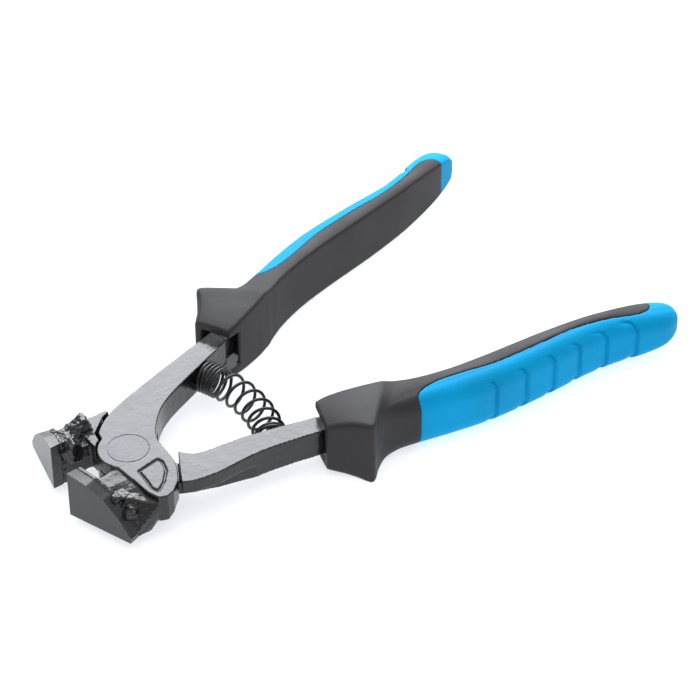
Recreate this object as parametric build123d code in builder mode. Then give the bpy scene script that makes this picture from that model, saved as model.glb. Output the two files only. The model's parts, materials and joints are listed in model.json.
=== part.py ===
"""Hand tile nippers, lying flat: two lapped forged arms on a rivet, brazed carbide tips,
an opening spring between the arms, and a two-colour grip on each handle."""

import os
from math import cos, hypot, radians, sin

from build123d import *

os.makedirs("parts", exist_ok=True)

# ---------------------------------------------------------------- driving dimensions (mm)
PIVOT_X = -74.88  # rivet axis, from the middle of the tool's footprint
PIVOT_Y = -3.8
MID_HEIGHT = 10.5  # the tool's middle plane above what it lies on

ARM_THICKNESS = 9.0
LAP_GAP = 0.2  # between the two lapped plates
BOSS_RADIUS = 9.0
LAP_CLEARANCE = 0.5  # in plan, round the plate of the other arm

JAW_WIDTH = 15.4  # length of each upright cutting edge
OPEN_HALF_ANGLE = 15.75  # each arm's turn from closed jaws to open jaws
FACE_X = -21.5  # the flush front faces of the closed jaws
MEETING_Y = 4.95  # where the closed edges meet, offset from the tool's axis
EDGE_GAP = 0.3  # half the gap left between the closed edges
TIP_THICKNESS = 3.2
SEAT_THICKNESS = 1.6  # steel behind each tip at the tip's full height
TIP_RELIEF = 0.9  # how far the inner side of a tip falls back over its thickness

RIVET_RADIUS = 3.4
RIVET_HEAD_RADIUS = 6.0
RIVET_HEAD_DEPTH = 2.0
RUNNING_GAP = 0.05
HEAD_GAP = 0.15

SPRING_X = 40.0  # coil axis crosses the gap between the arms here
SPRING_NEAR_Y = -19.0
SPRING_FAR_Y = 17.6
SPRING_RADIUS = 5.0
SPRING_WIRE = 1.0
SPRING_TURNS = 9
SPIGOT_RADIUS = 3.4
SPIGOT_LENGTH = 3.0

TANG_HALF_WIDTH = 2.8
TANG_HALF_HEIGHT = 3.6
CORE_HALF_WIDTH = 3.9
CORE_HALF_HEIGHT = 5.6
MOUTH_HALF_WIDTH = 5.4  # opening at the front of each grip, wider than the steel
MOUTH_HALF_HEIGHT = 6.2
GRIP_HALF_HEIGHT = 10.8
HANDLE_LEAN = 0.04  # behind the guards both handles lean this much to the upper side
LEAN_START = 68.0

GROOVE_COUNT = 6
GROOVE_PITCH = 10.4
GROOVE_FIRST_X = 98.1
GROOVE_DEPTH = 1.0
GROOVE_RADIUS = 1.6
GROOVE_HALF_HEIGHT = 6.6

HALF = ARM_THICKNESS / 2
HALF_JAW = JAW_WIDTH / 2
HALF_LAP = LAP_GAP / 2

# ---------------------------------------------------------------- outlines in plan, from the pivot
FAR_HANDLE_OUTER = [(-2.9, 11.0), (2.8, 15.4), (14.5, 19.7), (28, 23.4), (42, 26.8), (52, 29.6)]
FAR_HANDLE_INNER = [(52, 22.8), (41.3, 18.9), (31.4, 15.3), (23.4, 12.0), (17.4, 8.4),
                    (13.4, 4.6), (10.2, 0.6), (8.6, -3.9)]
TAIL_RIGHT = [(8.6, -3.9), (7.9, -8.9), (7.2, -13.1), (5.4, -16.8), (3.0, -20.5), (-0.7, -23.4)]
TAIL_LEFT = [(-0.7, -23.4), (-3.3, -24.1), (-5.6, -23.2), (-6.7, -19.5), (-6.9, -12.4), (-7.2, -5.4)]

NEAR_HANDLE_OUTER = [(3.3, -21.8), (7, -23.5), (16.2, -24.9), (26.8, -25.0), (38, -26.7), (52, -29.9)]
NEAR_HANDLE_INNER = [(52, -23.2), (43.0, -20.5), (30.9, -17.2), (19.9, -15.3), (13.0, -13.4),
                     (9.6, -8.0), (8.8, -2.0)]
NEAR_LAP_EDGE = [(-2.9, -11.0), (2.8, -15.6), (4.6, -19.6), (3.3, -21.8)]
# The underside of the near handle is drawn in where it meets the lap.
NEAR_UNDERCUT = [(2.8, -15.6), (9.5, -19.2), (16.6, -21.9), (24, -24.0), (31, -26.2), (31, -32), (0, -32)]

# What each arm gives up so that the other arm's lapped plate can lie in it.
UPPER_POCKET = [(13.8, 4.6), (8.4, 13.4), (0.8, 25.7), (-6, 25.7), (-6, 8), (-4.4, -8.4),
                (-3.6, -11.4), (2.2, -16.0), (4.4, -20.6), (5, -32), (40, -32), (14, -4)]
LOWER_POCKET = [(13.8, -4.6), (8.4, -13.4), (0.8, -25.7), (-8, -27), (-6, -8), (-4.4, 8.4),
                (-3.6, 11.6), (2.3, 16.2), (14.2, 20.4), (28, 24.2), (40, 27), (40, 0)]

# Carbide tip seen from the front: distance out from the cutting edge, and height.
TIP_FACE = [(0, -7.7), (0, 7.7), (7, 6.6), (13, 4.2), (18.3, -0.2), (22.6, -5.6), (22.3, -7.4)]
NEAR_NECK = [(3.0, -6.6), (3.0, 2.6), (9, 2.9), (14, 2.4), (18, -1.4), (21.6, -5.6), (21.4, -6.8)]
FAR_NECK = [(1.2, -6.2), (1.2, 3.0), (6, 3.2), (11, 3.0), (15, 0.0), (18.6, -4.8), (18.4, -6.4)]
NEAR_ROOT = [(6.2, -4.2), (6.2, 4.2), (12, 4.2), (18, 4.2), (23, 4.2), (26.0, 3.2), (24.4, -4.2)]
FAR_ROOT = [(1.5, -4.2), (1.5, 4.2), (5, 4.2), (9, 4.2), (13, 4.2), (16.0, 3), (14.6, -4.2)]
NEAR_ROOT_X = -8.0
FAR_ROOT_X = -5.5
FAR_TIP_SCALE = 0.91

# Shallow D-shaped groove pressed in the top plate beside the rivet.
PANEL = [(-3.9, -9.9), (4.0, -8.8), (4.6, -10.9), (3.2, -14.9), (-0.3, -18.8), (-4.4, -21.4),
         (-5.2, -18.6), (-4.4, -14.4)]
PANEL_GROOVE = 0.8
PANEL_DEPTH = 0.6

# Middle line of each handle inside its grip, on the upper side.
HANDLE_LINE = [(54, 27.0), (62, 29.6), (75, 34.9), (95, 40.6), (120, 45.4), (140, 48.8), (151, 51.0)]
TANG_START = (48, 25.2)
TANG_END = 6
MOUTH_START = (42, 23.0)
MOUTH_END = (55, 27.3)

# Grip stations: place along the axis, inner and outer edge, half height, corner radius.
STATIONS = [
    (49.8, 20.4, 35.5, 9.6, 3.0),
    (54.5, 21.6, 41.0, 10.4, 3.4),
    (58.5, 22.6, 44.2, 10.8, 3.8),
    (63.0, 24.6, 41.6, 10.7, 4.0),
    (68.0, 26.6, 38.8, 10.0, 4.2),
    (75.0, 29.4, 39.8, 9.5, 4.2),
    (88.0, 33.4, 43.6, 9.3, 4.2),
    (104.0, 36.8, 47.2, 9.3, 4.2),
    (122.0, 39.6, 50.6, 9.2, 4.2),
    (140.0, 42.6, 53.2, 8.8, 4.2),
    (154.0, 46.0, 56.6, 7.8, 4.0),
    (163.0, 48.8, 58.4, 6.5, 3.6),
    (168.5, 50.4, 57.2, 4.6, 2.8),
    (171.0, 51.6, 55.8, 2.8, 1.6),
]
GRIP_TURN = 20.0  # how far a station's plane turns from square to the axis
# Where the soft inner cover meets the hard outer panel, in plan.
PANEL_EDGE = [(75.6, 44.0), (77.0, 38.4), (84.0, 37.4), (94.0, 39.6), (104.0, 42.4), (118.0, 44.2),
              (133.0, 45.6), (145.0, 48.4), (156.0, 52.4), (161.5, 50.6), (162.8, 42.0)]


def level(height, turn=0.0):
    """Horizontal plane on the pivot axis, at a height from the tool's middle plane."""
    plane = Plane(origin=(PIVOT_X, PIVOT_Y, MID_HEIGHT + height))
    return plane.rotated((0, 0, turn))


def across(frame, distance):
    """Upright plane square to a jaw's length, with x outward from the cutting edge."""
    origin = frame.from_local_coords(Vector(distance, 0, 0))
    return Plane(origin=origin, x_dir=frame.y_dir, z_dir=frame.x_dir)


def flip(points, side):
    """The same outline on the upper side (1) or the lower side (-1)."""
    return [(x, side * y) for x, y in points]


def lean(x):
    """How far a handle leans to the upper side at a place along the axis."""
    return HANDLE_LEAN * max(x - LEAN_START, 0)


def ribbon(points, half_width, side):
    """Two rows of points on each side of a handle's middle line."""
    left = []
    right = []
    for i, (x, y) in enumerate(points):
        before = points[max(i - 1, 0)]
        after = points[min(i + 1, len(points) - 1)]
        dx = after[0] - before[0]
        dy = after[1] - before[1]
        length = hypot(dx, dy)
        nx = -dy / length * half_width
        ny = dx / length * half_width
        left.append((x + nx, side * (y + ny) + lean(x)))
        right.append((x - nx, side * (y - ny) + lean(x)))
    return left, right


def outer_edge(x):
    """The grip's outer edge at a place along the axis, between stations."""
    for first, second in zip(STATIONS, STATIONS[1:]):
        if first[0] <= x <= second[0]:
            share = (x - first[0]) / (second[0] - first[0])
            return first[2] + share * (second[2] - first[2])
    return STATIONS[-1][2]


def face_points(profile, out, scale=1.0, relief=0.0):
    """A jaw section's corners on an upright plane: out is -1 for the near jaw, 1 for the far one."""
    points = []
    for distance, height in profile:
        step = max(distance * scale, relief)
        points.append((MEETING_Y + out * (EDGE_GAP + step), height))
    return points


# ---------------------------------------------------------------- the two arms
for name, side in (("upper", 1), ("lower", -1)):
    out = -side
    jaw = level(0, side * OPEN_HALF_ANGLE)
    tip_scale = 1.0 if side == 1 else FAR_TIP_SCALE
    neck = NEAR_NECK if side == 1 else FAR_NECK
    root = NEAR_ROOT if side == 1 else FAR_ROOT
    root_x = NEAR_ROOT_X if side == 1 else FAR_ROOT_X
    pocket = UPPER_POCKET if side == 1 else LOWER_POCKET
    tang_left, tang_right = ribbon([TANG_START] + HANDLE_LINE[:TANG_END], TANG_HALF_WIDTH, side)
    spigot_y = SPRING_FAR_Y if side == 1 else SPRING_NEAR_Y

    with BuildPart() as arm:
        with BuildSketch(level(-HALF)):
            with BuildLine():
                if side == 1:
                    Spline(*FAR_HANDLE_OUTER)
                    Line(FAR_HANDLE_OUTER[-1], FAR_HANDLE_INNER[0])
                    Spline(*FAR_HANDLE_INNER)
                    Polyline(*TAIL_RIGHT)
                    Polyline(*TAIL_LEFT)
                    Line(TAIL_LEFT[-1], FAR_HANDLE_OUTER[0])
                else:
                    Polyline(*NEAR_LAP_EDGE)
                    Spline(*NEAR_HANDLE_OUTER)
                    Line(NEAR_HANDLE_OUTER[-1], NEAR_HANDLE_INNER[0])
                    Spline(*NEAR_HANDLE_INNER)
                    Line(NEAR_HANDLE_INNER[-1], flip(TAIL_RIGHT, -1)[0])
                    Polyline(*flip(TAIL_RIGHT, -1))
                    Polyline(*flip(TAIL_LEFT, -1))
                    Line(flip(TAIL_LEFT, -1)[-1], NEAR_LAP_EDGE[0])
            make_face()
            Circle(BOSS_RADIUS)
        extrude(amount=ARM_THICKNESS)
        # Tang that runs on inside the grip.
        with BuildSketch(level(-TANG_HALF_HEIGHT)):
            with BuildLine():
                Spline(*tang_left)
                Line(tang_left[-1], tang_right[-1])
                Spline(*tang_right)
                Line(tang_right[0], tang_left[0])
            make_face()
        extrude(amount=2 * TANG_HALF_HEIGHT)
        # Upright seat behind the carbide tip.
        seat_back = FACE_X + TIP_THICKNESS + SEAT_THICKNESS
        with BuildSketch(across(jaw, FACE_X + TIP_THICKNESS)):
            Polygon(*face_points(TIP_FACE, out, tip_scale, TIP_RELIEF), align=None)
        extrude(amount=SEAT_THICKNESS)
        # Lower jaw, drawn out from the boss to the seat.
        with BuildSketch(across(jaw, seat_back)):
            Polygon(*face_points(neck, out), align=None)
        with BuildSketch(across(jaw, root_x)):
            Polygon(*face_points(root, out), align=None)
        loft(ruled=True)
        # Half of the boss gives way to the other arm's plate.
        pocket_base = level(-HALF_JAW - 1) if side == 1 else level(-HALF_LAP)
        pocket_depth = HALF_JAW + 1 + HALF_LAP
        with BuildSketch(pocket_base):
            Polygon(*pocket, align=None)
            Circle(BOSS_RADIUS + LAP_CLEARANCE)
        extrude(amount=pocket_depth, mode=Mode.SUBTRACT)
        if side == -1:
            with BuildSketch(level(-HALF_JAW)):
                Polygon(*NEAR_UNDERCUT, align=None)
            extrude(amount=HALF_JAW, mode=Mode.SUBTRACT)
        # Spigot inside the end of the spring.
        seat = Plane(
            origin=(PIVOT_X + SPRING_X, PIVOT_Y + spigot_y, MID_HEIGHT),
            z_dir=(0, -side, 0),
        )
        with BuildSketch(seat.offset(-3.0)):
            Circle(SPIGOT_RADIUS)
        extrude(amount=3.0 + SPIGOT_LENGTH)
        # Rivet hole with its countersunk seat.
        bore_gap = RUNNING_GAP if side == 1 else 0.0
        head_gap = HEAD_GAP if side == 1 else 0.0
        outer_face = side * HALF
        inner_face = side * (HALF - RIVET_HEAD_DEPTH)
        with BuildSketch(level(-HALF)):
            Circle(RIVET_RADIUS + bore_gap)
        extrude(amount=ARM_THICKNESS, mode=Mode.SUBTRACT)
        with BuildSketch(level(outer_face)):
            Circle(RIVET_HEAD_RADIUS + head_gap)
        with BuildSketch(level(inner_face)):
            Circle(RIVET_RADIUS + head_gap)
        loft(mode=Mode.SUBTRACT)
        if side == 1:
            with BuildSketch(level(HALF)):
                Polygon(*PANEL, align=None)
                offset(amount=-PANEL_GROOVE, mode=Mode.SUBTRACT)
            extrude(amount=-PANEL_DEPTH, mode=Mode.SUBTRACT)
    arm.part.label = f"{name}_arm"
    export_step(arm.part, f"parts/{name}_arm.step")

    with BuildPart() as carbide_tip:
        with BuildSketch(across(jaw, FACE_X)):
            Polygon(*face_points(TIP_FACE, out, tip_scale), align=None)
        with BuildSketch(across(jaw, FACE_X + TIP_THICKNESS)):
            Polygon(*face_points(TIP_FACE, out, tip_scale, TIP_RELIEF), align=None)
        loft(ruled=True)
    carbide_tip.part.label = f"{name}_carbide_tip"
    export_step(carbide_tip.part, f"parts/{name}_carbide_tip.step")

# ---------------------------------------------------------------- rivet
with BuildPart() as pivot_rivet:
    with BuildSketch(level(-HALF)):
        Circle(RIVET_RADIUS)
    extrude(amount=ARM_THICKNESS)
    for end in (1, -1):
        with BuildSketch(level(end * HALF)):
            Circle(RIVET_HEAD_RADIUS)
        with BuildSketch(level(end * (HALF - RIVET_HEAD_DEPTH))):
            Circle(RIVET_RADIUS)
        loft()
pivot_rivet.part.label = "pivot_rivet"
export_step(pivot_rivet.part, "parts/pivot_rivet.step")

# ---------------------------------------------------------------- opening spring
with BuildPart() as opening_spring:
    coil_length = SPRING_FAR_Y - SPRING_NEAR_Y - 2 * SPRING_WIRE
    coil_start = (PIVOT_X + SPRING_X, PIVOT_Y + SPRING_NEAR_Y + SPRING_WIRE, MID_HEIGHT)
    with BuildLine() as coil_line:
        Helix(
            coil_length / SPRING_TURNS,
            coil_length,
            SPRING_RADIUS,
            center=coil_start,
            direction=(0, 1, 0),
        )
    with BuildSketch(Plane(origin=coil_line.line @ 0, z_dir=coil_line.line % 0)):
        Circle(SPRING_WIRE / 2)
    sweep(path=coil_line.line, is_frenet=True)
opening_spring.part.label = "opening_spring"
export_step(opening_spring.part, "parts/opening_spring.step")

# ---------------------------------------------------------------- grips
for name, side in (("upper", 1), ("lower", -1)):
    core_left, core_right = ribbon(HANDLE_LINE, CORE_HALF_WIDTH, side)
    mouth_left, mouth_right = ribbon([MOUTH_START, MOUTH_END], MOUTH_HALF_WIDTH, side)
    tang_left, tang_right = ribbon([TANG_START] + HANDLE_LINE[:TANG_END], TANG_HALF_WIDTH, side)

    # Hard inner sleeve round the tang.
    with BuildPart() as grip_core:
        with BuildSketch(level(-CORE_HALF_HEIGHT)):
            with BuildLine():
                Spline(*core_left)
                Line(core_left[-1], core_right[-1])
                Spline(*core_right)
                Line(core_right[0], core_left[0])
            make_face()
        extrude(amount=2 * CORE_HALF_HEIGHT)
        with BuildSketch(level(-TANG_HALF_HEIGHT)):
            with BuildLine():
                Spline(*tang_left)
                Line(tang_left[-1], tang_right[-1])
                Spline(*tang_right)
                Line(tang_right[0], tang_left[0])
            make_face()
        extrude(amount=2 * TANG_HALF_HEIGHT, mode=Mode.SUBTRACT)
    grip_core.part.label = f"{name}_grip_core"
    export_step(grip_core.part, f"parts/{name}_grip_core.step")

    # Soft cover with the finger guard, and the hard outer panel let into it.
    for piece in ("cover", "panel"):
        with BuildPart() as grip:
            for x, inner, outer, half_height, corner in STATIONS:
                place = Plane(
                    origin=(PIVOT_X + x, PIVOT_Y + side * (inner + outer) / 2 + lean(x), MID_HEIGHT),
                    x_dir=(-sin(radians(GRIP_TURN)), side * cos(radians(GRIP_TURN)), 0),
                    z_dir=(cos(radians(GRIP_TURN)), side * sin(radians(GRIP_TURN)), 0),
                )
                with BuildSketch(place):
                    RectangleRounded(outer - inner, 2 * half_height, corner)
            loft()
            # The tool lies on the flat undersides of its grips.
            split(bisect_by=Plane.XY, keep=Keep.TOP)
            with BuildSketch(level(-GRIP_HALF_HEIGHT - 1)):
                with BuildLine():
                    edge = [(x, side * y + lean(x)) for x, y in PANEL_EDGE]
                    Spline(*edge)
                    Polyline(edge[-1], (200, side * 40), (200, side * 80), (76, side * 80), edge[0])
                make_face()
            shared = Mode.INTERSECT if piece == "panel" else Mode.SUBTRACT
            extrude(amount=2 * GRIP_HALF_HEIGHT + 2, mode=shared)
            with BuildSketch(level(-CORE_HALF_HEIGHT)):
                with BuildLine():
                    Spline(*core_left)
                    Line(core_left[-1], core_right[-1])
                    Spline(*core_right)
                    Line(core_right[0], core_left[0])
                make_face()
            extrude(amount=2 * CORE_HALF_HEIGHT, mode=Mode.SUBTRACT)
            if piece == "cover":
                with BuildSketch(level(-MOUTH_HALF_HEIGHT)):
                    Polygon(*mouth_left, *reversed(mouth_right), align=None)
                extrude(amount=2 * MOUTH_HALF_HEIGHT, mode=Mode.SUBTRACT)
            else:
                groove_x = [GROOVE_FIRST_X + i * GROOVE_PITCH for i in range(GROOVE_COUNT)]
                stand_off = GROOVE_RADIUS - GROOVE_DEPTH
                with BuildSketch(level(-GROOVE_HALF_HEIGHT)):
                    with Locations(*[(x, side * (outer_edge(x) + stand_off) + lean(x)) for x in groove_x]):
                        Circle(GROOVE_RADIUS)
                extrude(amount=2 * GROOVE_HALF_HEIGHT, mode=Mode.SUBTRACT)
        grip.part.label = f"{name}_grip_{piece}"
        export_step(grip.part, f"parts/{name}_grip_{piece}.step")
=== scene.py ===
import json
from math import cos, pi, radians, sin, sqrt

import bmesh
import bpy
import numpy as np
from mathutils import Matrix, Vector, noise


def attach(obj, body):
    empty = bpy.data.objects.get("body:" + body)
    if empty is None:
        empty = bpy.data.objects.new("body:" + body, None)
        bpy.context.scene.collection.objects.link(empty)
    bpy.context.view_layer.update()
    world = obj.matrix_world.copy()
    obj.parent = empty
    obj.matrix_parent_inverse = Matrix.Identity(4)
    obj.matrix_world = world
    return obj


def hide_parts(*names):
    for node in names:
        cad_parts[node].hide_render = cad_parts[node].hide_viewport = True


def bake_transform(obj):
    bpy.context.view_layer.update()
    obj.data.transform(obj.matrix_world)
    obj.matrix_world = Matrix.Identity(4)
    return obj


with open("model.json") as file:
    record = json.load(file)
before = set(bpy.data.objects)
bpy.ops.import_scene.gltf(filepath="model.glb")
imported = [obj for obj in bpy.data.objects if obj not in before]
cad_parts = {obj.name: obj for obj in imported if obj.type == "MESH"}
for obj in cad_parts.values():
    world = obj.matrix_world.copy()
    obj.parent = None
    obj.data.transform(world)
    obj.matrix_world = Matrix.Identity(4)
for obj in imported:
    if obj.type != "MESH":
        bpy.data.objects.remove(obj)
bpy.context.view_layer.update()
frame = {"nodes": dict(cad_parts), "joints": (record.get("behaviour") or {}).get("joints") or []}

# ------------------------------------------------------------------ camera
# The camera stands in front of the jaws on the near side and looks down on the tool,
# which lies flat with its jaws to the left and its handles running back to the right.
MM = 0.001
pivot = Vector(frame["joints"][0]["pos_m"])
LOOK_AZIMUTH = radians(38.515)
LOOK_DOWN = radians(38.127)
LOOK_ROLL = radians(-0.297)
CAMERA_PLACE = Vector((-322.2, -507.6, 509.2))
camera_data = bpy.data.cameras.new("camera")
camera_data.sensor_width = 36.0
camera_data.lens = 139.75
camera_data.clip_start = 0.05
camera = bpy.data.objects.new("camera", camera_data)
bpy.context.collection.objects.link(camera)
camera.matrix_world = (
    Matrix.Translation(pivot + CAMERA_PLACE * MM)
    @ Matrix.Rotation(-LOOK_AZIMUTH, 4, "Z")
    @ Matrix.Rotation(pi / 2 - LOOK_DOWN, 4, "X")
    @ Matrix.Rotation(LOOK_ROLL, 4, "Z")
)
bpy.context.scene.camera = camera

# ------------------------------------------------------------------ table and light
# A white table top under a large soft lamp behind the tool and a weaker one overhead. The
# black enamel mirrors the lamp behind as a cool grey, and that lamp casts no shadow.
TABLE_REACH = 9.0
table_corners = [(-TABLE_REACH, -TABLE_REACH, 0), (TABLE_REACH, -TABLE_REACH, 0),
                 (TABLE_REACH, TABLE_REACH, 0), (-TABLE_REACH, TABLE_REACH, 0)]
table_mesh = bpy.data.meshes.new("table_top")
table_mesh.from_pydata(table_corners, [], [(0, 1, 2, 3)])
table_top = bpy.data.objects.new("table_top", table_mesh)
bpy.context.collection.objects.link(table_top)


def new_material(name):
    """A new material, with its node tree and its surface shader."""
    made = bpy.data.materials.new(name)
    made.use_nodes = True
    return made, made.node_tree, made.node_tree.nodes["Principled BSDF"]


table_paint, _, table_shader = new_material("table_paint")
table_shader.inputs["Base Color"].default_value = (0.86, 0.86, 0.86, 1)
table_shader.inputs["Roughness"].default_value = 0.9
table_shader.inputs["Specular IOR Level"].default_value = 0.1
table_mesh.materials.append(table_paint)


def lamp(name, toward, distance, width, height, watts, colour, shadow):
    """A soft rectangular lamp facing the rivet, this many metres away in one direction."""
    data = bpy.data.lights.new(name, "AREA")
    data.shape = "RECTANGLE"
    data.size = width
    data.size_y = height
    data.energy = watts
    data.color = colour
    data.use_shadow = shadow
    light = bpy.data.objects.new(name, data)
    bpy.context.collection.objects.link(light)
    away = Vector(toward).normalized()
    light.location = pivot + away * distance
    light.rotation_mode = "QUATERNION"
    light.rotation_quaternion = away.to_track_quat("Z", "Y")


lamp("lamp_behind", (0.49, 0.62, 0.62), 1.1, 1.0, 0.8, 19.0, (0.92, 0.95, 1.0), False)
lamp("lamp_above", (-0.1, -0.1, 1.0), 1.4, 1.6, 1.6, 5.0, (1.0, 1.0, 1.0), True)

world = bpy.data.worlds.new("room")
world.use_nodes = True
world.node_tree.nodes["Background"].inputs["Color"].default_value = (1.0, 1.0, 1.0, 1)
world.node_tree.nodes["Background"].inputs["Strength"].default_value = 0.55
bpy.context.scene.world = world
bpy.context.scene.view_settings.view_transform = "Standard"


# ------------------------------------------------------------------ lower arm
# A drop forging in medium carbon steel: near handle, lower lap plate and far jaw in one.
# It is dipped in black enamel after the carbide is brazed on, so edges are soft and glossy.
def at(x, y, z):
    """A place given in millimetres from the rivet's axis and the tool's middle plane."""
    return pivot + Vector((x, y, z)) * MM


def settle(piece):
    """Makes a piece's modifiers part of its mesh."""
    graph = bpy.context.evaluated_depsgraph_get()
    mesh = bpy.data.meshes.new_from_object(piece.evaluated_get(graph))
    piece.modifiers.clear()
    piece.data = mesh
    return piece


def soften(piece, grain, passes):
    """Rounds a piece's edges, as forging, moulding or thick paint leaves them."""
    remesh = piece.modifiers.new("even", "REMESH")
    remesh.mode = "VOXEL"
    remesh.voxel_size = grain * MM
    remesh.use_smooth_shade = True
    smooth = piece.modifiers.new("soft", "SMOOTH")
    smooth.factor = 0.5
    smooth.iterations = passes
    return settle(piece)


def mesh_from(form, name):
    """The mesh of a finished form."""
    mesh = bpy.data.meshes.new(name)
    form.to_mesh(mesh)
    form.free()
    return mesh


def new_piece(name, mesh):
    """A mesh as a piece in the scene."""
    piece = bpy.data.objects.new(name, mesh)
    bpy.context.collection.objects.link(piece)
    return piece


FACETS = 16
FACET_REACH = (0.68, 1.0)
LUMP_REACH = 1.1
SKIN_DEPTH = 0.05


def lump(centre, radii, turn, seed):
    """A craggy lump of metal as a closed mesh: broken facets with a rough skin."""
    random = np.random.default_rng(seed)
    facings = random.normal(size=(FACETS, 3))
    facings /= np.linalg.norm(facings, axis=1)[:, None]
    facings = [Vector(facing) for facing in facings]
    reaches = random.uniform(*FACET_REACH, FACETS)
    form = bmesh.new()
    bmesh.ops.create_icosphere(form, subdivisions=5, radius=1.0)
    spin = Matrix.Rotation(radians(turn), 3, "Z")
    for v in form.verts:
        facets = [reach / max(facing.dot(v.co), 0.01) for facing, reach in zip(facings, reaches)]
        skin = noise.fractal(v.co * 4.0 + Vector(centre), 0.7, 2.1, 4)
        out = v.co * (min(facets + [LUMP_REACH]) + SKIN_DEPTH * skin)
        v.co = at(*centre) + spin @ Vector([a * r * MM for a, r in zip(out, radii)])
    return mesh_from(form, "lump")


def hull(corners):
    """The closed convex mesh through some corners."""
    form = bmesh.new()
    for place in corners:
        form.verts.new(at(*place))
    bmesh.ops.convex_hull(form, input=form.verts)
    return mesh_from(form, "hull")


def cut(piece, cutter, operation):
    """Cuts a piece with a block, or keeps only what lies in the block."""
    boolean = piece.modifiers.new("cut", "BOOLEAN")
    boolean.object = cutter
    boolean.operation = operation
    boolean.solver = "EXACT"
    settle(piece)
    bpy.data.objects.remove(cutter)


def trimmed(mesh, corners):
    """A copy of a mesh with the convex block through some corners taken away."""
    blank = new_piece("blank", mesh.copy())
    cut(blank, new_piece("cutter", hull(corners)), "DIFFERENCE")
    made = blank.data
    bpy.data.objects.remove(blank)
    return made


def joined(name, meshes):
    """One piece from several closed meshes; softening it afterwards welds them."""
    form = bmesh.new()
    for mesh in meshes:
        form.from_mesh(mesh)
    bmesh.ops.remove_doubles(form, verts=form.verts, dist=1e-6)
    return new_piece(name, mesh_from(form, name))


def skin_of(piece):
    """A piece's points, their normals, and their places in millimetres from the rivet."""
    count = len(piece.data.vertices)
    places = np.empty(count * 3, np.float32)
    normals = np.empty(count * 3, np.float32)
    piece.data.vertices.foreach_get("co", places)
    piece.data.vertex_normals.foreach_get("vector", normals)
    places, normals = places.reshape(-1, 3), normals.reshape(-1, 3)
    return places, normals, (places - np.array(pivot)) / MM


def move_skin(piece, places):
    """Puts a piece's points at new places."""
    piece.data.vertices.foreach_set("co", places.ravel())
    piece.data.update()


LEAST_SHARE = 0.01


def roughen(piece, depth, size, share):
    """Moves each point along its normal by fractal noise, by as much as share(x, y, z) says."""
    places, normals, local = skin_of(piece)
    amount = np.array([share(*p) for p in local])
    for i in np.nonzero(amount > LEAST_SHARE)[0]:
        amount[i] *= noise.fractal(Vector(local[i]) / size, 0.6, 2.2, 4)
    places += normals * (amount * depth * MM)[:, None]
    move_skin(piece, places)


def links(tree, *pairs):
    """Joins sockets in a material: (from node, its output, to node, its input)."""
    for source, output, target, socket in pairs:
        tree.links.new(source.outputs[output], target.inputs[socket])


def node(tree, kind, **values):
    """A shader node with its settings and its sockets' plain values."""
    made = tree.nodes.new(kind)
    for name, value in values.items():
        socket = name.replace("_", " ").title()
        if socket in made.inputs:
            made.inputs[socket].default_value = value
        else:
            setattr(made, name, value)
    return made


def ramp(tree, *stops):
    """A colour ramp with the given (position, grey level) stops."""
    made = tree.nodes.new("ShaderNodeValToRGB")
    while len(made.color_ramp.elements) < len(stops):
        made.color_ramp.elements.new(0.5)
    for element, (place, level) in zip(made.color_ramp.elements, stops):
        element.position = place
        element.color = (level, level, level, 1)
    return made


def tinted(tree, colour):
    """A node that shades a colour by the grey level linked to its second colour socket."""
    tint = node(tree, "ShaderNodeMix", data_type="RGBA", blend_type="MULTIPLY")
    tint.inputs[0].default_value = 1.0
    tint.inputs[6].default_value = (*colour, 1)
    return tint


def enamel(name, colour, gloss, pit):
    """Black stoving enamel: glossy, with orange peel, pits, dull patches and faint scuffs."""
    made, tree, shader = new_material(name)
    shader.inputs["IOR"].default_value = 1.52
    shader.inputs["Specular IOR Level"].default_value = 0.55
    place = node(tree, "ShaderNodeTexCoord")
    peel = node(tree, "ShaderNodeTexNoise", scale=260.0, detail=3.0)
    patch = node(tree, "ShaderNodeTexNoise", scale=90.0, detail=6.0, roughness=0.65)
    dots = node(tree, "ShaderNodeTexNoise", scale=900.0, detail=2.0)
    gloss_ramp = ramp(tree, (0.35, gloss), (0.7, gloss + 0.14))
    tint_ramp = ramp(tree, (0.3, 0.75), (0.7, 1.25))
    drawn = node(tree, "ShaderNodeMapping", scale=(50.0, 520.0, 520.0))
    scuffs = node(tree, "ShaderNodeTexNoise", scale=1.0, detail=3.0)
    scuff_ramp = ramp(tree, (0.62, 0.0), (0.72, 1.0))
    scuff_bump = node(tree, "ShaderNodeBump", strength=0.16, distance=0.0002)
    tint = tinted(tree, colour)
    peel_bump = node(tree, "ShaderNodeBump", strength=0.12, distance=0.0006)
    dots_bump = node(tree, "ShaderNodeBump", strength=pit, distance=0.0002)
    links(
        tree,
        (place, "Object", peel, "Vector"),
        (place, "Object", patch, "Vector"),
        (place, "Object", dots, "Vector"),
        (patch, "Fac", gloss_ramp, "Fac"),
        (gloss_ramp, "Color", shader, "Roughness"),
        (patch, "Fac", tint_ramp, "Fac"),
        (tint_ramp, "Color", tint, 7),
        (tint, 2, shader, "Base Color"),
        (peel, "Fac", peel_bump, "Height"),
        (dots, "Fac", dots_bump, "Height"),
        (peel_bump, "Normal", dots_bump, "Normal"),
        (place, "Object", drawn, "Vector"),
        (drawn, "Vector", scuffs, "Vector"),
        (scuffs, "Fac", scuff_ramp, "Fac"),
        (scuff_ramp, "Color", scuff_bump, "Height"),
        (dots_bump, "Normal", scuff_bump, "Normal"),
        (scuff_bump, "Normal", shader, "Normal"),
    )
    return made


def fade_in(value, start, run):
    """Rises from 0 at a start to 1 at the end of a run."""
    return max(0.0, min(1.0, (value - start) / run))


def everywhere(x, y, z):
    """The same share over the whole piece."""
    return 1.0


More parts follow.
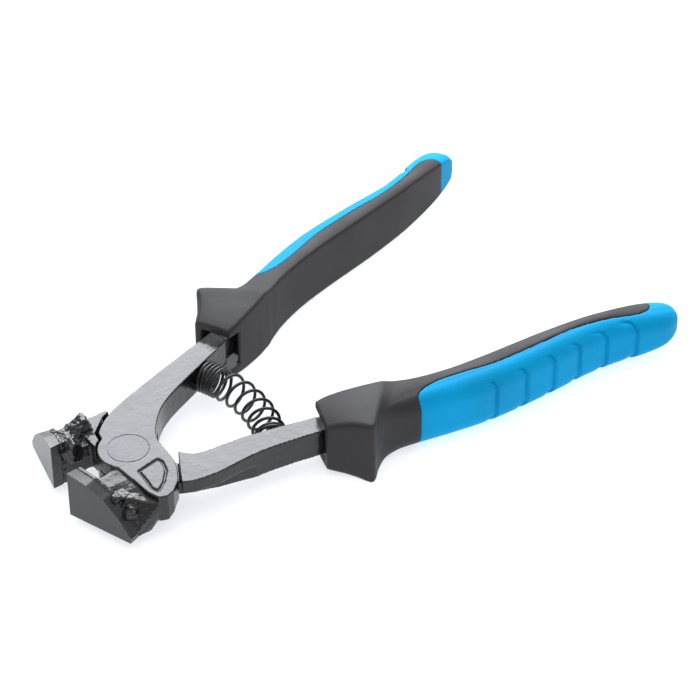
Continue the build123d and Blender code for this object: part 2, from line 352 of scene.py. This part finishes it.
def far_crag(x, y, z):
    """How craggy the far jaw is: most behind its tip, fading out towards the rivet."""
    return fade_in(-x, 1.5, 4) * fade_in(y, 9.0, 3)


arm_enamel = enamel("arm_enamel", (0.008, 0.008, 0.009), 0.15, 0.25)
# The jaw's tail is cut off just beyond its lumps of braze.
FAR_TRIM = [(x, y, z) for x, y in ((-9, 19.0), (8, 18.0), (8, 32), (-9, 32)) for z in (-9, 9)]
lower_arm = joined(
    "forged_lower_arm",
    [
        trimmed(frame["nodes"]["lower_arm"].data, FAR_TRIM),
        lump((-12.2, 12.8, 3.4), (4.6, 6.4, 4.6), -20, 3),
        lump((-7.6, 15.0, 3.0), (4.6, 4.4, 4.2), 30, 5),
        lump((-12.6, 11.2, 2.0), (2.2, 2.4, 3.6), 10, 8),
        lump((-5.6, 16.4, 4.6), (4.6, 3.8, 3.6), 40, 21),
    ],
)
soften(lower_arm, 0.3, 3)
roughen(lower_arm, 0.4, 1.8, far_crag)
roughen(lower_arm, 0.07, 6.0, everywhere)
lower_arm.data.materials.clear()
lower_arm.data.materials.append(arm_enamel)
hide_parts("lower_arm")
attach(lower_arm, "lower_handle")

# ------------------------------------------------------------------ upper arm
# The second forging, laid over the first: far handle, upper lap plate and near jaw.
# Its lap plate is machined flat on top and has a shallow pressed outline beside the rivet.


def near_crag(x, y, z):
    """How craggy the near jaw is: a pitted fillet of braze behind its tip."""
    return fade_in(-x, 6.5, 4) * fade_in(-y, 11.5, 3)


# A web of metal runs from the back of the tip to the tail of the lap plate.
NEAR_WEB = [
    (-15.4, -12.4, 3.4), (-14.2, -17.4, -0.8), (-13.0, -21.9, -5.6), (-13.0, -21.7, -7.3),
    (-15.6, -11.0, -7.3), (-1.4, -22.6, 1.5), (-3.4, -23.8, 1.8), (-5.6, -23.0, 2.0),
    (-3.4, -20.6, -5.6), (-8.4, -22.2, -7.2), (-4.4, -12.4, -6.5), (-4.4, -12.4, 3.2),
]
# The lower end of that tail is cut away on a slope.
NEAR_TRIM = [
    (-8, -27, -9), (9, -27, -9), (9, -17, -9), (-8, -17, -9),
    (-8, -27, -7.0), (9, -27, 2.4), (9, -17, -2.0), (-8, -17, -8.0),
]
upper_arm = joined(
    "forged_upper_arm",
    [
        trimmed(frame["nodes"]["upper_arm"].data, NEAR_TRIM),
        hull(NEAR_WEB),
        lump((-14.2, -14.4, 2.4), (2.2, 2.6, 2.0), 15, 11),
        lump((-12.6, -18.6, 0.0), (2.4, 2.8, 1.8), 30, 13),
    ],
)
soften(upper_arm, 0.28, 3)
roughen(upper_arm, 0.35, 1.8, near_crag)
roughen(upper_arm, 0.05, 6.0, everywhere)
upper_arm.data.materials.clear()
upper_arm.data.materials.append(arm_enamel)
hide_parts("upper_arm")
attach(upper_arm, "upper_handle")

# ------------------------------------------------------------------ carbide tips
# Two tungsten carbide plates brazed to the jaws and ground flat on their fronts.
# The grinding leaves a satin face with fine lines along it, under a thin wash of enamel.
GROUND_BEVEL = 0.12


def ground_carbide():
    """Dark sintered carbide with fine grinding lines."""
    made, tree, shader = new_material("ground_carbide")
    shader.inputs["Base Color"].default_value = (0.026, 0.026, 0.03, 1)
    shader.inputs["Specular IOR Level"].default_value = 0.55
    place = node(tree, "ShaderNodeTexCoord")
    stretch = node(tree, "ShaderNodeMapping", scale=(1.0, 1.0, 14.0))
    lines = node(tree, "ShaderNodeTexNoise", scale=220.0, detail=4.0)
    lines_ramp = ramp(tree, (0.3, 0.2), (0.7, 0.3))
    lines_bump = node(tree, "ShaderNodeBump", strength=0.1, distance=0.0001)
    links(
        tree,
        (place, "Object", stretch, "Vector"),
        (stretch, "Vector", lines, "Vector"),
        (lines, "Fac", lines_ramp, "Fac"),
        (lines_ramp, "Color", shader, "Roughness"),
        (lines, "Fac", lines_bump, "Height"),
        (lines_bump, "Normal", shader, "Normal"),
    )
    return made


carbide = ground_carbide()
for name in ("upper_carbide_tip", "lower_carbide_tip"):
    tip = frame["nodes"][name]
    tip.data.materials.clear()
    tip.data.materials.append(carbide)
    ground = tip.modifiers.new("ground_edges", "BEVEL")
    ground.width = GROUND_BEVEL * MM
    ground.segments = 2
    ground.limit_method = "ANGLE"
    ground.angle_limit = radians(35)

# ------------------------------------------------------------------ rivet
# A steel rivet set flush into a countersink on each side and dressed off before painting.
# Only the hair-thin joint round its head shows through the enamel.
rivet_enamel = enamel("rivet_enamel", (0.008, 0.008, 0.009), 0.17, 0.35)
rivet = frame["nodes"]["pivot_rivet"]
rivet.data.materials.clear()
rivet.data.materials.append(rivet_enamel)

# ------------------------------------------------------------------ opening spring
# One coil of blackened spring wire pushed over a spigot on the inside of each arm.
# Open, it bows round towards the handles; its end turns are closed up tight.
SPRING_REACH = 43.6
SPRING_DRAW_IN = 1.6
SPRING_COIL = 4.6
SPRING_WIRE = 0.5
NEAR_ANGLE = -25.6
FAR_ANGLE = 24.2
SPRING_TURNS = 13
TURN_STEPS = 28
WIRE_SIDES = 8


SPRING_PACE = [(0.0, 0.0), (0.14, 0.055), (0.62, 0.83), (1.0, 1.0)]


def spring_way(share):
    """How far along the spring a turn lies: close turns at both ends and open ones between."""
    return np.interp(share, *zip(*SPRING_PACE))


def skinned(form, rings):
    """Closes a form over a row of rings of points, with a face at each end."""
    count = len(rings[0])
    for first, second in zip(rings, rings[1:]):
        for j in range(count):
            k = (j + 1) % count
            form.faces.new((first[j], first[k], second[k], second[j]))
    form.faces.new(rings[0])
    form.faces.new(rings[-1])
    bmesh.ops.recalc_face_normals(form, faces=form.faces)


spring_form = bmesh.new()
rings = []
steps = SPRING_TURNS * TURN_STEPS
for i in range(steps + 1):
    share = i / steps
    bend = radians(NEAR_ANGLE + (FAR_ANGLE - NEAR_ANGLE) * spring_way(share))
    outward = Vector((cos(bend), sin(bend), 0))
    along = Vector((-sin(bend), cos(bend), 0))
    turn = 2 * pi * i / TURN_STEPS
    spoke = outward * cos(turn) + Vector((0, 0, 1)) * sin(turn)
    reach = SPRING_REACH - SPRING_DRAW_IN * (1 - spring_way(share))
    centre = pivot + (outward * reach + spoke * SPRING_COIL) * MM
    ring = []
    for j in range(WIRE_SIDES):
        angle = 2 * pi * j / WIRE_SIDES
        offset = spoke * cos(angle) + along * sin(angle)
        ring.append(spring_form.verts.new(centre + offset * SPRING_WIRE * MM))
    rings.append(ring)
skinned(spring_form, rings)
spring_mesh = mesh_from(spring_form, "spring")
spring_mesh.shade_smooth()
spring = new_piece("coil_spring", spring_mesh)
spring_black = enamel("spring_black", (0.006, 0.006, 0.006), 0.3, 0.3)
spring_mesh.materials.append(spring_black)
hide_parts("opening_spring")
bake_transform(spring)

# ------------------------------------------------------------------ grips
# Each tang wears a hard inner sleeve, a soft charcoal cover with a flared finger guard, and
# a firmer blue panel moulded into the cover's outer side with six finger grooves.

# Stations run from the front rim to the handle's end: inner place, outer place, half height
# at the inner and the outer edge, and the outer corner's radius.
GRIP_STATIONS = [
    (51.9, 20.9, 47.4, 32.4, 8.8, 8.2, 1.6),
    (55.4, 21.6, 49.2, 34.1, 9.6, 9.0, 1.8),
    (60.5, 23.2, 51.4, 36.4, 10.2, 9.8, 2.0),
    (66.5, 25.4, 53.6, 39.3, 10.6, 10.5, 1.8),
    (70.6, 27.1, 55.6, 42.5, 10.8, 11.0, 1.2),
    (72.4, 27.8, 57.3, 42.5, 10.6, 10.7, 1.6),
    (74.2, 28.7, 59.6, 40.6, 10.1, 9.9, 2.8),
    (76.6, 29.7, 63.2, 39.0, 9.7, 9.2, 4.0),
    (80.0, 31.2, 68.4, 39.1, 9.5, 9.1, 5.0),
    (86.0, 33.2, 76.0, 41.3, 9.3, 9.2, 5.4),
    (94.0, 35.2, 87.0, 44.8, 9.2, 9.3, 5.6),
    (105.8, 37.3, 101.0, 48.2, 9.2, 9.3, 5.6),
    (123.9, 39.9, 119.6, 50.2, 9.1, 9.2, 5.4),
    (139.0, 42.5, 135.4, 51.6, 8.7, 8.8, 5.4),
    (149.0, 44.8, 146.0, 53.9, 8.1, 8.2, 5.2),
    (157.5, 47.0, 155.0, 57.2, 7.2, 7.4, 5.0),
    (164.0, 49.0, 162.4, 58.9, 6.0, 6.2, 4.4),
    (168.2, 50.4, 167.0, 57.8, 4.4, 4.6, 3.2),
    (170.0, 51.6, 169.4, 55.8, 2.6, 2.8, 1.8),
]
STATION_STEPS = 9
CORNER_POINTS = 8
CREASE_POINTS = 4
FLAT_POINTS = 9
SIDE_POINTS = 13
INNER_CORNER = 0.9
CROWN = 0.35
UNDERSIDE = -10.5
PANEL_EDGE = [(75.6, 44.0), (77.0, 38.4), (84.0, 37.4), (94.0, 39.6), (104.0, 42.4), (118.0, 44.2),
              (133.0, 45.6), (145.0, 48.4), (156.0, 52.4), (161.5, 50.6), (162.8, 42.0)]
PANEL_EDGE_STEPS = 10
PANEL_BEYOND = [(200, 40), (200, 80), (75.4, 80)]
BLOCK_HALF = 20
LEAN = 0.04
LEAN_START = 68.0
# The mouth is laid out along the tang's own direction, outwards from its middle line.
HANDLE_WAY = Vector((0.949, 0.316))
HANDLE_SIDE = Vector((-0.316, 0.949))
MOUTH_CENTRE = Vector((50.0, 25.66))
MOUTH_HALF = 6.2
MOUTH_CORNERS = [(-10, 4.9), (8.5, 4.7), (8.5, -4.4), (5.0, -4.4), (5.0, -12), (-10, -12)]


def on_grip(x, y, z, side):
    """A place on one grip: the two are mirror images but for a small lean to the upper side."""
    return at(x, side * y + LEAN * max(x - LEAN_START, 0.0), z)


def smooth_through(points, steps):
    """Catmull-Rom points through the given ones, which may be of any dimension."""
    points = np.array(points, float)
    padded = np.vstack([2 * points[0] - points[1], points, 2 * points[-1] - points[-2]])
    made = []
    for i in range(1, len(padded) - 2):
        a, b, c, d = padded[i - 1 : i + 3]
        for t in np.arange(steps) / steps:
            square = (2 * a - 5 * b + 4 * c - d) * t**2
            cube = (3 * b - a - 3 * c + d) * t**3
            made.append(0.5 * (2 * b + (c - a) * t + square + cube))
    made.append(points[-1])
    return made


def corner(centre_t, centre_z, radius, first, last, count):
    """Points of a rounded corner in a section, between two angles in degrees."""
    angles = np.radians(np.linspace(first, last, count))
    return [(centre_t + radius * cos(a), centre_z + radius * sin(a)) for a in angles]


def grip_section(station, side):
    """One cross-section of a grip: flat inner wall, crisp inner edges, soft outer corners."""
    xi, yi, xo, yo, inner_half, outer_half, radius = station
    width = sqrt((xo - xi) ** 2 + (yo - yi) ** 2)
    top = corner(width - radius, outer_half - radius, radius, 0, 90, CORNER_POINTS)
    flat = [(width - radius) * (1 - s) + INNER_CORNER * s for s in np.linspace(0, 1, FLAT_POINTS)[1:-1]]
    for t in flat:
        share = (t - INNER_CORNER) / (width - radius - INNER_CORNER)
        rise = CROWN * 4 * share * (1 - share)  # an arch that is CROWN high in the middle
        top.append((t, inner_half + (outer_half - inner_half) * share + rise))
    top += corner(INNER_CORNER, inner_half - INNER_CORNER, INNER_CORNER, 90, 180, CREASE_POINTS)
    wall = [(0.0, z) for z in np.linspace(inner_half, -inner_half, SIDE_POINTS)[2:-2]]
    bottom = [(t, -z) for t, z in reversed(top)]
    outer = [(width, z) for z in np.linspace(-outer_half, outer_half, SIDE_POINTS)[4:-4]]
    ring = []
    for t, z in top + wall + bottom + outer:
        x = xi + (xo - xi) * t / width
        y = yi + (yo - yi) * t / width
        ring.append(on_grip(x, y, max(z, UNDERSIDE), side))
    return ring


def grip_body(side):
    """The grip's whole outer form as one closed mesh."""
    form = bmesh.new()
    rings = []
    for station in smooth_through(GRIP_STATIONS, STATION_STEPS):
        rings.append([form.verts.new(p) for p in grip_section(station, side)])
    skinned(form, rings)
    return mesh_from(form, "grip_body")


def prism(outline, side, low, high):
    """A closed upright block over an outline in plan, between two heights."""
    form = bmesh.new()
    lower = [form.verts.new(on_grip(x, y, low, side)) for x, y in outline]
    upper = [form.verts.new(on_grip(x, y, high, side)) for x, y in outline]
    skinned(form, [lower, upper])
    return new_piece("block", mesh_from(form, "block"))


def mouth_outline():
    """The pocket round the tang in plan; it breaks through the grip's inner wall at the front."""
    return [MOUTH_CENTRE + HANDLE_WAY * along + HANDLE_SIDE * out for along, out in MOUTH_CORNERS]


GROOVE_ENDS = [101.0, 112.0, 122.6, 132.6, 142.4, 152.2]
GROOVE_WIDTH = 4.2
GROOVE_DEPTH = 1.05
GROOVE_SWEEP = 1.6
HOOK_BACK = 2.6
HOOK_START = 4.4
HOOK_END = 7.4
HOOK_LOWER = 1.8  # the grooves run on this much further below than above
FADE_RUN = 0.6


def carve_grooves(piece, side):
    """Sinks the six finger grooves: each deepens slowly towards the back and ends in a sharp step."""
    places, normals, local = skin_of(piece)
    x, z = local[:, 0], local[:, 2]
    height = np.maximum(z, -z - HOOK_LOWER)
    outward = np.clip(normals[:, 1] * side * 3, 0, 1)
    bend = np.clip((height - HOOK_START) / (HOOK_END - HOOK_START), 0, 1)
    fade = np.clip((HOOK_END + FADE_RUN / 2 - height) / FADE_RUN, 0, 1)
    depth = np.zeros(len(x))
    for end in GROOVE_ENDS:
        line = end - HOOK_BACK * (1 - np.sqrt(1 - bend**2))
        before = line - x
        inside = (before > 0) & (before < GROOVE_WIDTH)
        depth[inside] = GROOVE_DEPTH * (1 - before[inside] / GROOVE_WIDTH) ** GROOVE_SWEEP
    depth *= outward * fade
    places -= normals * (depth * MM)[:, None]
    move_skin(piece, places)


def moulding(name, colour, dull, grit, sheen):
    """Moulded plastic or soft rubber with a fine spark-eroded texture and slight handling shine."""
    made, tree, shader = new_material(name)
    shader.inputs["Specular IOR Level"].default_value = sheen
    place = node(tree, "ShaderNodeTexCoord")
    fine = node(tree, "ShaderNodeTexNoise", scale=2400.0, detail=2.0)
    broad = node(tree, "ShaderNodeTexNoise", scale=60.0, detail=4.0)
    dull_ramp = ramp(tree, (0.3, dull - 0.06), (0.7, dull + 0.06))
    tint_ramp = ramp(tree, (0.3, 0.9), (0.7, 1.1))
    tint = tinted(tree, colour)
    bump = node(tree, "ShaderNodeBump", strength=grit, distance=0.00008)
    links(
        tree,
        (place, "Object", fine, "Vector"),
        (place, "Object", broad, "Vector"),
        (broad, "Fac", dull_ramp, "Fac"),
        (dull_ramp, "Color", shader, "Roughness"),
        (broad, "Fac", tint_ramp, "Fac"),
        (tint_ramp, "Color", tint, 7),
        (tint, 2, shader, "Base Color"),
        (fine, "Fac", bump, "Height"),
        (bump, "Normal", shader, "Normal"),
    )
    return made


cover_rubber = moulding("cover_rubber", (0.026, 0.0245, 0.0265), 0.6, 0.5, 0.35)
panel_blue = moulding("panel_blue", (0.0, 0.335, 0.67), 0.55, 0.25, 0.1)
sleeve_black = moulding("sleeve_black", (0.02, 0.02, 0.022), 0.6, 0.3, 0.4)

# The sleeve follows the tang's middle line.
SLEEVE_LINE = [(58, 28.6), (66, 31.6), (75, 34.4), (95, 39.6), (120, 44.0), (140, 47.0), (151, 49.8)]
SLEEVE_HALF = 2.9
SLEEVE_RISE = 4.9
SLEEVE_STEPS = 6

for name, side in (("upper", 1), ("lower", -1)):
    line = [tuple(p) for p in smooth_through(SLEEVE_LINE, SLEEVE_STEPS)]
    outline = [(x, y + SLEEVE_HALF) for x, y in line] + [(x, y - SLEEVE_HALF) for x, y in reversed(line)]
    sleeve = soften(prism(outline, side, -SLEEVE_RISE, SLEEVE_RISE), 0.5, 3)
    sleeve.name = f"{name}_sleeve"
    sleeve.data.materials.append(sleeve_black)
    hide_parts(f"{name}_grip_core")
    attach(sleeve, f"{name}_handle")

    beyond = [tuple(p) for p in smooth_through(PANEL_EDGE, PANEL_EDGE_STEPS)] + PANEL_BEYOND
    cover = new_piece(f"{name}_cover", grip_body(side))
    cut(cover, prism(beyond, side, -BLOCK_HALF, BLOCK_HALF), "DIFFERENCE")
    cut(cover, prism(mouth_outline(), side, -MOUTH_HALF, MOUTH_HALF), "DIFFERENCE")
    soften(cover, 0.4, 3)
    cover.data.materials.append(cover_rubber)
    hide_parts(f"{name}_grip_cover")
    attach(cover, f"{name}_handle")

    panel = new_piece(f"{name}_panel", grip_body(side))
    cut(panel, prism(beyond, side, -BLOCK_HALF, BLOCK_HALF), "INTERSECT")
    soften(panel, 0.3, 3)
    carve_grooves(panel, side)
    panel.data.materials.append(panel_blue)
    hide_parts(f"{name}_grip_panel")
    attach(panel, f"{name}_handle")
